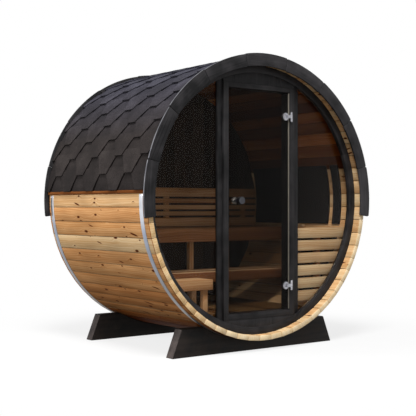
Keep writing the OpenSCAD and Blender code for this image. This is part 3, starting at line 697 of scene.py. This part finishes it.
band = {"back": 0.1 * mm, "face": 2.2 * mm, "edge": 0.5 * mm, "end": 1.95, "rivet": 1.25, "rows": (-0.25, 0.25)}
for name, node in (("bandFront", "steel_band_front"), ("bandRear", "steel_band_rear")):
    low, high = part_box(node)
    strip = bmesh.new()
    lay(strip, arcBoard(barrel["radius"] + band["back"], barrel["radius"] + band["face"], low.y, high.y,
                math.radians(180 + 2 * band["end"]), band["edge"], 96), atAngle(-90))
    for angle in (band["rivet"], 180 - band["rivet"]):
        for row in band["rows"]:
            head = turned([(0, 2.2 * mm), (3 * mm, 2.0 * mm), (5 * mm, 0.8 * mm), (5.2 * mm, 0), (0, 0)], 16)
            across = (low.y + high.y) / 2 + row * (high.y - low.y)
            lay(strip, head, atAngle(angle) @ at(barrel["radius"] + 2 * mm, across, 0) @ turn("Y"))
    finish(strip, name, bandSteel, nodes=[node])

cradle = {"height": 0.194, "halfBase": 0.735, "halfTop": 0.658, "edge": 4 * mm,
        "tones": {"cradleFront": 0.1, "cradleRear": 0.0}}
for name, node in (("cradleFront", "cradle_front"), ("cradleRear", "cradle_rear")):
    low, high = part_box(node)
    block = bmesh.new()
    reach = barrel["radius"] + 0.5 * mm
    start = math.asin((barrel["axis"] - cradle["height"]) / reach)
    first = block.verts.new((-reach * math.cos(start), low.y, barrel["axis"] - reach * math.sin(start)))
    bmesh.ops.spin(block, geom=[first], cent=(0, 0, barrel["axis"]), axis=(0, -1, 0), angle=math.pi - 2 * start,
            steps=40, use_merge=False, use_duplicate=False)
    block.verts.ensure_lookup_table()
    tips = sorted((v for v in block.verts if len(v.link_edges) == 1), key=lambda v: v.co.x)
    corners = [block.verts.new((x, low.y, z)) for x, z in
            ((cradle["halfTop"], cradle["height"]), (cradle["halfBase"], 0), (-cradle["halfBase"], 0),
                (-cradle["halfTop"], cradle["height"]))]
    loop = [tips[-1], *corners, tips[0]]
    for a, b in zip(loop, loop[1:]):
        block.edges.new((a, b))
    bmesh.ops.contextual_create(block, geom=block.edges[:])
    thicken(block, (0, high.y - low.y, 0))
    sharpEdges = [e for e in block.edges if e.calc_face_angle(0) > math.radians(20)]
    bmesh.ops.bevel(block, geom=sharpEdges, offset=cradle["edge"], segments=3, profile=0.5, affect="EDGES",
            material=-1, clamp_overlap=True)
    whole = bmesh.new()
    lay(whole, block, tone=cradle["tones"][name], grain="XZY")
    made = finish(whole, name, [cradlePaint, cradleEndLit], nodes=[node])
    for face in made.data.polygons:
        if abs(face.normal.x) > 0.85 and face.center.z < cradle["height"]:
            face.material_index = 1             # sawn ends, paler than the faces: partly end grain, partly painted light where they face the sky
print("fascia, bands and cradles made")


# glass front
front = {
    "ring": 54 * mm, "edge": 2 * mm, "post": 40 * mm, "bead": 8 * mm, "jamb": 45 * mm, "jambEdge": 2.5 * mm,
    "headerSeams": (-0.24, 0.19), "thresholdSeams": (0.112,), "panelEdge": 1.2 * mm,
    "tones": {"ring": 0.38, "posts": 0.0, "header": 0.0, "threshold": 0.5, "door": 0.3},
}
low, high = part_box("ring_sides")
ringInner = barrel["inner"] - front["ring"]
ring = bmesh.new()
for i in range(8):
    arc = arcBoard(ringInner, barrel["inner"] - seat, low.y, high.y,
            math.radians(45) - 0.4 * mm / ringInner, 1 * mm, 16)
    lay(ring, arc, atAngle(i * 45), front["tones"]["ring"], "ZXY")
finish(ring, "frontRing", framePaint, nodes=["ring_crown", "ring_sides", "ring_base"])

# each post, with a glazing bead over the pane's edge
low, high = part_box("front_posts")
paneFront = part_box("side_panes")[0].y
boards = []
for side in (1, -1):
    for near, far, y0, y1, edge in (
            (high.x - front["post"], high.x, low.y, high.y, front["edge"]),
            (high.x - 1 * mm, high.x + front["bead"], low.y + 2 * mm, paneFront - seat, 1.5 * mm)):
        x0, x1 = sorted((side * near, side * far))
        boards.append(fitted((x0, y0, low.z), (x1, y1, high.z), "Z", ringInner - seat, edge=edge))
build("frontPosts", "front_posts", boards, framePaint, front["tones"]["posts"])

for name, node, end in (("headerPanel", "header_panel", "high"), ("thresholdPanel", "threshold_panel", "low")):
    low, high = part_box(node)
    seams = [low.x, *front[name[:-5] + "Seams"], high.x]
    boards = [fitted((x0 + seat, low.y, low.z), (x1 - seat, high.y, high.z), "Z", ringInner - seat,
                end, front["panelEdge"], 12) for x0, x1 in zip(seams, seams[1:])]
    build(name, node, boards, framePaint, front["tones"][name[:-5]])

low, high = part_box("door_jambs")
boards = [boxBoard((x, low.y, low.z), (x + front["jamb"], high.y, high.z), "Z", front["jambEdge"])
        for x in (high.x - front["jamb"], low.x)]
build("doorJambs", "door_jambs", boards, framePaint, front["tones"]["door"])
for name, node in (("doorHead", "door_head"), ("doorSill", "door_sill")):
    board = boxBoard(*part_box(node), "X", front["jambEdge"])
    build(name, node, [board], framePaint, front["tones"]["door"])

# the panes keep their CAD shape, with the smoked glass on them
for node, glass in (("side_panes", paneGlass), ("door_glass", leafGlass)):
    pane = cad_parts[node]
    pane.data.materials.clear()
    pane.data.materials.append(glass)

leafLow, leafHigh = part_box("door_glass")
seal = {"width": 6.5 * mm, "proud": 1 * mm}
strip = bmesh.new()
lay(strip, *boxBoard((leafHigh.x - seal["width"], leafLow.y - seal["proud"], leafLow.z),
            (leafHigh.x + 0.5 * mm, leafHigh.y + seal["proud"], leafHigh.z), "Z", 0.8 * mm))
finish(strip, "leafSeal", sealStrip, "door")
print("front made")


# door fittings
knobLow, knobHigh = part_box("door_knobs")
knob = {
    "x": (knobLow.x + knobHigh.x) / 2,
    "z": (knobLow.z + knobHigh.z) / 2,
    "radius": (knobHigh.x - knobLow.x) / 2,
    "length": leafLow.y - knobLow.y,
}
handles = bmesh.new()
r, n = knob["radius"], knob["length"]
for y, quarter in ((leafLow.y, 90), (leafHigh.y, -90)):
    shape = turned([(0, 0.3 * mm), (r * 0.62, 0.3 * mm), (r * 0.64, 1.5 * mm), (r * 0.60, 3 * mm),
                (r * 0.42, 3.6 * mm), (r * 0.40, 14 * mm), (r * 0.46, 18 * mm), (r * 0.86, 20.5 * mm),
                (r * 0.97, 22 * mm), (r, 24.5 * mm), (r, n - 4 * mm), (r * 0.97, n - 1.6 * mm),
                (r * 0.9, n - 0.3 * mm), (r * 0.80, n), (r * 0.76, n - 0.8 * mm), (0, n - 1.4 * mm)], 48)
    lay(handles, shape, at(knob["x"], y, knob["z"]) @ turn("X", quarter))
made = finish(handles, "doorKnobs", [knobDarkReflection, knobBright], "door", ["door_knobs"])
for face in made.data.polygons:
    face.material_index = int(face.center.y > leafHigh.y)     # the inside knob is the polished one; the outside one is dark, a painted reflection of dark surroundings

clampLow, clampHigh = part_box("door_hinge_clamps")
plateLow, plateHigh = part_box("door_hinge_plates")
hinge = {
    "height": 72 * mm, "knuckle": 7 * mm, "pin": 4 * mm, "gap": 1 * mm, "arm": 24 * mm,
    "disc": 28 * mm, "discThickness": 8 * mm,
    "plate": 16 * mm, "plateThickness": 5 * mm, "screws": 24 * mm, "screwInset": 6 * mm,
}
k, half, outside = hinge["knuckle"], hinge["arm"] / 2, hinge["height"] / 2
hingeX, hingeY = clampHigh.x - k, clampLow.y + k
discX = clampLow.x + hinge["disc"]
discFace = leafLow.y - seat - hinge["discThickness"]
plateX, plateFace = hingeX + k - 4 * mm, plateHigh.y - hinge["plateThickness"]

clamps, plates = bmesh.new(), bmesh.new()
for z in (plateLow.z + outside, plateHigh.z - outside):
    # a disc on each side of the leaf, with its screw
    r, t = hinge["disc"], hinge["discThickness"]
    for y, quarter in ((leafLow.y - seat, 90), (leafHigh.y + seat, -90)):
        disc = turned([(0, 0), (r - 0.6 * mm, 0), (r, 0.6 * mm), (r, t - 2 * mm), (r - 0.7 * mm, t - 0.6 * mm),
                    (r - 2.2 * mm, t), (8.5 * mm, t), (8 * mm, t - 0.8 * mm), (6.6 * mm, t - 0.8 * mm),
                    (6.0 * mm, t + 0.8 * mm), (4.6 * mm, t + 1.4 * mm), (3.2 * mm, t + 1.5 * mm),
                    (2.6 * mm, t - 0.2 * mm), (0, t - 0.2 * mm)], 48)
        lay(clamps, disc, at(discX, y, z) @ turn("X", quarter))
    # arm from the disc to the middle knuckle
    lay(clamps, *boxBoard((discX, hingeY - k + 1 * mm, z - half),
                (hingeX - hinge["pin"] - 1 * mm, discFace + 1 * mm, z + half), "X", 1.5 * mm))
    bore = hinge["pin"] + 0.3 * mm
    sleeve = turned([(bore, -half), (k - 0.7 * mm, -half), (k, -half + 0.7 * mm), (k, half - 0.7 * mm),
                (k - 0.7 * mm, half), (bore, half), (bore, -half)], 32)
    lay(clamps, sleeve, at(hingeX, hingeY, z))
    # fixed half: plate, two knuckles, two screws and the pin
    lay(plates, *boxBoard((plateX, plateFace, z - outside), (plateX + hinge["plate"], plateHigh.y, z + outside),
                "Z", 1.2 * mm))
    for side in (1, -1):
        inside = half + hinge["gap"]
        knuckle = turned([(0, inside), (k - 0.7 * mm, inside), (k, inside + 0.7 * mm), (k, outside - 1.5 * mm),
                    (k - 1.5 * mm, outside), (0, outside)], 32)
        bmesh.ops.scale(knuckle, vec=(1, 1, side), verts=knuckle.verts)
        lay(plates, knuckle, at(hingeX, hingeY, z))
        head = turned([(0, 1.2 * mm), (1.5 * mm, 1.2 * mm), (3.4 * mm, 0.8 * mm), (4 * mm, 0), (0, 0)], 20)
        screwX = plateX + hinge["plate"] - hinge["screwInset"]
        lay(plates, head, at(screwX, plateFace, z + side * hinge["screws"]) @ turn("X"))
    pin = turned([(0, -outside + 3 * mm), (hinge["pin"], -outside + 3 * mm), (hinge["pin"], outside - 3 * mm),
                (0, outside - 3 * mm)], 24)
    lay(plates, pin, at(hingeX, hingeY, z))
finish(clamps, "hingeClamps", hingeSteel, "door", ["door_hinge_clamps"])
finish(plates, "hingePlates", hingeSteel, "sauna", ["door_hinge_plates"])
print("door fittings made")


# rear wall and floor
def split(low, high, pitch, gap):
    # even boards across a span, as pairs of edges
    count = max(1, round((high - low) / pitch))
    step = (high - low) / count
    return [(low + i * step + gap / 2, low + (i + 1) * step - gap / 2) for i in range(count)]


rear = {"board": 96 * mm, "joint": 0.8 * mm, "edge": 3 * mm}
low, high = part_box("rear_wall")
boards = [fitted((x0, low.y, low.z), (x1, high.y, high.z), "Z", barrel["inner"] - seat, edge=rear["edge"])
        for x0, x1 in split(low.x, high.x, rear["board"], rear["joint"])]
made = build("rearWall", "rear_wall", boards, [wallWood, wallStain], edged=True)
for face in made.data.polygons:
    face.material_index = int(face.normal.y < -0.3)          # stained dark towards the room

deck = {"board": 94 * mm, "gap": 4 * mm, "edge": 2.5 * mm, "bearerWidth": 60 * mm, "bearerHeight": 70 * mm}
low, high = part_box("floor_boards")
boards = [boxBoard((x0, low.y, low.z), (x1, high.y, high.z), "Y", deck["edge"])
        for x0, x1 in split(low.x, high.x, deck["board"], deck["gap"])]
build("floorBoards", "floor_boards", boards, floorWood, edged=True)

low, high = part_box("floor_bearers")
width = deck["bearerWidth"]
boards = [fitted((low.x, y0, high.z - deck["bearerHeight"]), (high.x, y0 + width, high.z), edge=3 * mm)
        for y0 in (low.y, (low.y + high.y - width) / 2, high.y - width)]
build("floorBearers", "floor_bearers", boards, floorWood)


# benches, step, backrest and guard
bench = {"slat": 86 * mm, "gap": 8 * mm, "edge": 3.5 * mm, "legEdge": 3 * mm}
for name, node, ends, tone, slatted in (
        ("upperSeat", "upper_bench_seat", "both", None, True),
        ("lowerSeat", "lower_bench_seat", "both", None, True),
        ("stepSeat", "step_seat", "low", 0.25, True),
        ("upperApron", "upper_bench_apron", "both", 0.8, False),
        ("lowerApron", "lower_bench_apron", "both", 1.0, False),
        ("stepApron", "step_apron", "low", 0.45, False)):
    low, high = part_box(node)
    rows = [(low.y, high.y)]
    if slatted:
        rows = split(low.y, high.y + bench["gap"] / 2, bench["slat"], bench["gap"])
    boards = [fitted((low.x, y0, low.z), (high.x, min(y1, high.y), high.z), ends=ends, edge=bench["edge"])
            for y0, y1 in rows]
    build(name, node, boards, benchWood, tone, slatted)

post = boxBoard(*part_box("upper_bench_post"), "Z", bench["legEdge"])
build("benchPost", "upper_bench_post", [post], benchWood)

low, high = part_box("step_legs")
side = high.x - low.x
boards = [boxBoard((low.x, y0, low.z), (high.x, y0 + side, high.z), "Z", bench["legEdge"])
        for y0 in (low.y, high.y - side)]
build("stepLegs", "step_legs", boards, benchWood, 0.3)

backrest = {"heights": [74, 38, 38, 38, 74], "gap": 14, "cleat": 40 * mm}
low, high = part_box("backrest_slats")
slats = bmesh.new()
top = high.z
for height in backrest["heights"]:
    lay(slats, *boxBoard((low.x, low.y, top - height * mm), (high.x, high.y, top), "X", 4 * mm),
        tone=0.35 + 0.2 * rng.random(), edged=True)
    top -= (height + backrest["gap"]) * mm
finish(slats, "backrestSlats", benchWood, nodes=["backrest_slats"])

low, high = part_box("backrest_cleats")
boards = [boxBoard((x, low.y, low.z), (x + backrest["cleat"], high.y, high.z), "Z")
        for x in (low.x, -backrest["cleat"] / 2, high.x - backrest["cleat"])]
build("backrestCleats", "backrest_cleats", boards, benchWood)

guard = {"slat": 78 * mm, "pitch": 94 * mm, "post": 40 * mm, "spacing": 275 * mm, "count": 6,
        "slatGap": 12.3 * mm, "sheet": 1.5 * mm, "sheetGap": 16 * mm, "drop": 12 * mm}
low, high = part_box("guard_slats")
slats = bmesh.new()
for i in range(guard["count"]):
    top = high.z - i * guard["pitch"]
    lay(slats, *fitted((low.x, low.y, top - guard["slat"]), (high.x, high.y, top), "X",
                barrel["inner"] - guard["slatGap"], "high", 3 * mm), tone=0.15 * rng.random(), edged=True)
finish(slats, "guardSlats", benchWood, nodes=["guard_slats"])

# the left post stands on the floor, the right one on the round wall
low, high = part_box("guard_posts")
boards = [boxBoard(low, (low.x + guard["post"], high.y, high.z), "Z", 2.5 * mm),
        fitted((low.x + guard["spacing"], low.y, low.z), high, "Z", ends="low", edge=2.5 * mm)]
# the posts take the darkest tone: painted shade that keeps the gaps between the slats dark
build("guardPosts", "guard_posts", boards, benchWood, 1.0)

# a blackened sheet behind the posts: painted shade that keeps the gaps between the slats dark
shadeSheet = bmesh.new()
y0, y1 = high.y + seat, high.y + seat + guard["sheet"]
low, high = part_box("guard_slats")
lay(shadeSheet, *fitted((low.x, y0, low.z), (high.x, y1, high.z - guard["drop"]), "X",
            barrel["inner"] - guard["sheetGap"], "high", 0.4 * mm, 8))
finish(shadeSheet, "guardShadeSheet", shadeSheetSteel)

# ledgers under the seats' ends, planed to the round wall
ledger = {"width": 60 * mm, "height": 45 * mm}
ledgers = bmesh.new()
for node in ("upper_bench_seat", "lower_bench_seat"):
    seatLow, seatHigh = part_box(node)
    top = seatLow.z - seat
    reach = roundReach(barrel["axis"] - top, barrel["inner"] - seat)
    for side in (1, -1):
        x0, x1 = sorted((side * (reach - ledger["width"]), side * reach))
        board, place = boxBoard((x0, seatLow.y, top - ledger["height"]), (x1, seatHigh.y, top), "Y")
        for vert in board.verts:
            world = place @ vert.co
            limit = roundReach(world.z - barrel["axis"], barrel["scribed"])
            if abs(world.x) > limit:
                world.x = math.copysign(limit, world.x)
                vert.co = place.inverted() @ world
        lay(ledgers, board, place)
finish(ledgers, "benchLedgers", benchWood, nodes=["bench_ledgers"])

low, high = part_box("heat_panel_rail")
rail = bmesh.new()
board, place = boxBoard(low, high, "Y")
for vert in board.verts:
    world = place @ vert.co
    limit = roundReach(world.z - barrel["axis"], barrel["scribed"])
    if world.x > (low.x + high.x) / 2:
        world.x = limit - (high.x - world.x) if high.x - world.x < 3 * mm else min(world.x, limit)
        vert.co = place.inverted() @ world
lay(rail, board, place, tone=0.1)
finish(rail, "panelRail", benchWood, nodes=["heat_panel_rail"])

heat = {"narrow": 85 * mm, "space": 45 * mm, "thickness": 12 * mm, "top": 17}
low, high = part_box("heat_panel")
bottom = math.degrees(math.asin((low.z - barrel["axis"]) / barrel["inner"]))
panels = bmesh.new()
for y0, y1 in ((low.y, low.y + heat["narrow"]), (low.y + heat["narrow"] + heat["space"], high.y)):
    lay(panels, arcBoard(barrel["inner"] - heat["thickness"] - seat, barrel["inner"] - 0.4 * mm, y0, y1,
                math.radians(heat["top"] - bottom), 1.5 * mm, 14),
        atAngle((heat["top"] + bottom) / 2), grain="YZX")
finish(panels, "darkPanels", panelPaint, nodes=["heat_panel"])
print("inside made")


# studio
studio = {
    "camera": (-4.277, -5.735, 1.026), "lens": 80.4, "shiftY": -0.003, "heading": (0.598, 0.8016, 0.0),
    "floorRadius": 30, "fadeStart": 1.2, "fadeEnd": 2.7, "fadeLow": 0.8,
    "sky": 0.32,
    "key": {"at": (-3.2, -4.2, 8.8), "size": 3.0, "power": 1200},
    "side": {"at": (-7.6, 1.8, 4.1), "size": 3.0, "power": 380},
    "fill": {"at": (-3.6, -6.5, 0.9), "size": 3.0, "power": 110},
}


def backgroundRays(owner):
    # 1 for the rays that show the background: camera, mirror and see-through rays
    ray = add(owner, "LightPath")
    pair = add(owner, "Math", {0: ray.outputs["Is Camera Ray"], 1: ray.outputs["Is Glossy Ray"]},
            operation="MAXIMUM")
    return add(owner, "Math", {0: pair, 1: ray.outputs["Is Transmission Ray"]}, operation="MAXIMUM")


ground = bmesh.new()
bmesh.ops.create_circle(ground, cap_ends=True, segments=96, radius=studio["floorRadius"])
mesh = bpy.data.meshes.new("studioFloor")
ground.to_mesh(mesh)
ground.free()
floorPaper = newMaterial("paperRoll_matt")       # a matt white paper sweep with a soft tooth, lit from below
place = add(floorPaper, "TexCoord").outputs["Object"]
tooth = add(floorPaper, "TexNoise", {"Vector": place, "Scale": 4.0})
white = add(floorPaper, "ValToRGB", {"Fac": tooth}, stops=[(0.3, "#d5d5d5"), (0.7, "#d9d9d9")])
bounce = add(floorPaper, "LightPath").outputs["Is Diffuse Ray"]
grey = add(floorPaper, "Mix", {"Factor": bounce, "A": white, "B": "#4a4846"}, data_type="RGBA")
paper = add(floorPaper, "BsdfDiffuse", {"Color": grey})
glow = add(floorPaper, "Emission", {"Color": "#ffffff", "Strength": 1.0})
distance = add(floorPaper, "VectorMath", {0: place}, operation="LENGTH").outputs["Value"]
fade = add(floorPaper, "MapRange",
        {"Value": distance, "From Min": studio["fadeStart"], "From Max": studio["fadeEnd"],
            "To Min": studio["fadeLow"], "To Max": 1.0}, interpolation_type="SMOOTHSTEP")
share = add(floorPaper, "Math", {0: backgroundRays(floorPaper), 1: fade}, operation="MULTIPLY")
blend = add(floorPaper, "MixShader", {0: share, 1: paper, 2: glow})
add(floorPaper, "OutputMaterial", {"Surface": blend})
mesh.materials.append(floorPaper)
studioFloor = bpy.data.objects.new("studioFloor", mesh)
scene.collection.objects.link(studioFloor)

world = bpy.data.worlds.new("studioRoom")
scene.world = world
world.use_nodes = True
world.node_tree.nodes.clear()
dim = add(world, "Math", {0: backgroundRays(world), 1: 1 - studio["sky"], 2: studio["sky"]},
        operation="MULTIPLY_ADD")
room = add(world, "Background", {"Color": "#ffffff", "Strength": dim})
add(world, "OutputWorld", {"Surface": room})

for name in ("key", "side", "fill"):
    lamp = bpy.data.lights.new(name + "Lamp", "AREA")
    lamp.shape = "DISK"
    lamp.size = studio[name]["size"]
    lamp.energy = studio[name]["power"]
    holder = bpy.data.objects.new(name + "Lamp", lamp)
    holder.location = studio[name]["at"]
    aim = Vector((0, 0, barrel["axis"])) - Vector(studio[name]["at"])
    holder.rotation_euler = aim.to_track_quat("-Z", "Y").to_euler()
    scene.collection.objects.link(holder)

lens = bpy.data.cameras.new("camera")
lens.lens = studio["lens"]
lens.sensor_width = 36
lens.shift_y = studio["shiftY"]
lens.clip_end = 200
camera = bpy.data.objects.new("camera", lens)
camera.location = studio["camera"]
camera.rotation_euler = Vector(studio["heading"]).to_track_quat("-Z", "Y").to_euler()
scene.collection.objects.link(camera)
scene.camera = camera
scene.view_settings.view_transform = "Standard"
print("studio made")
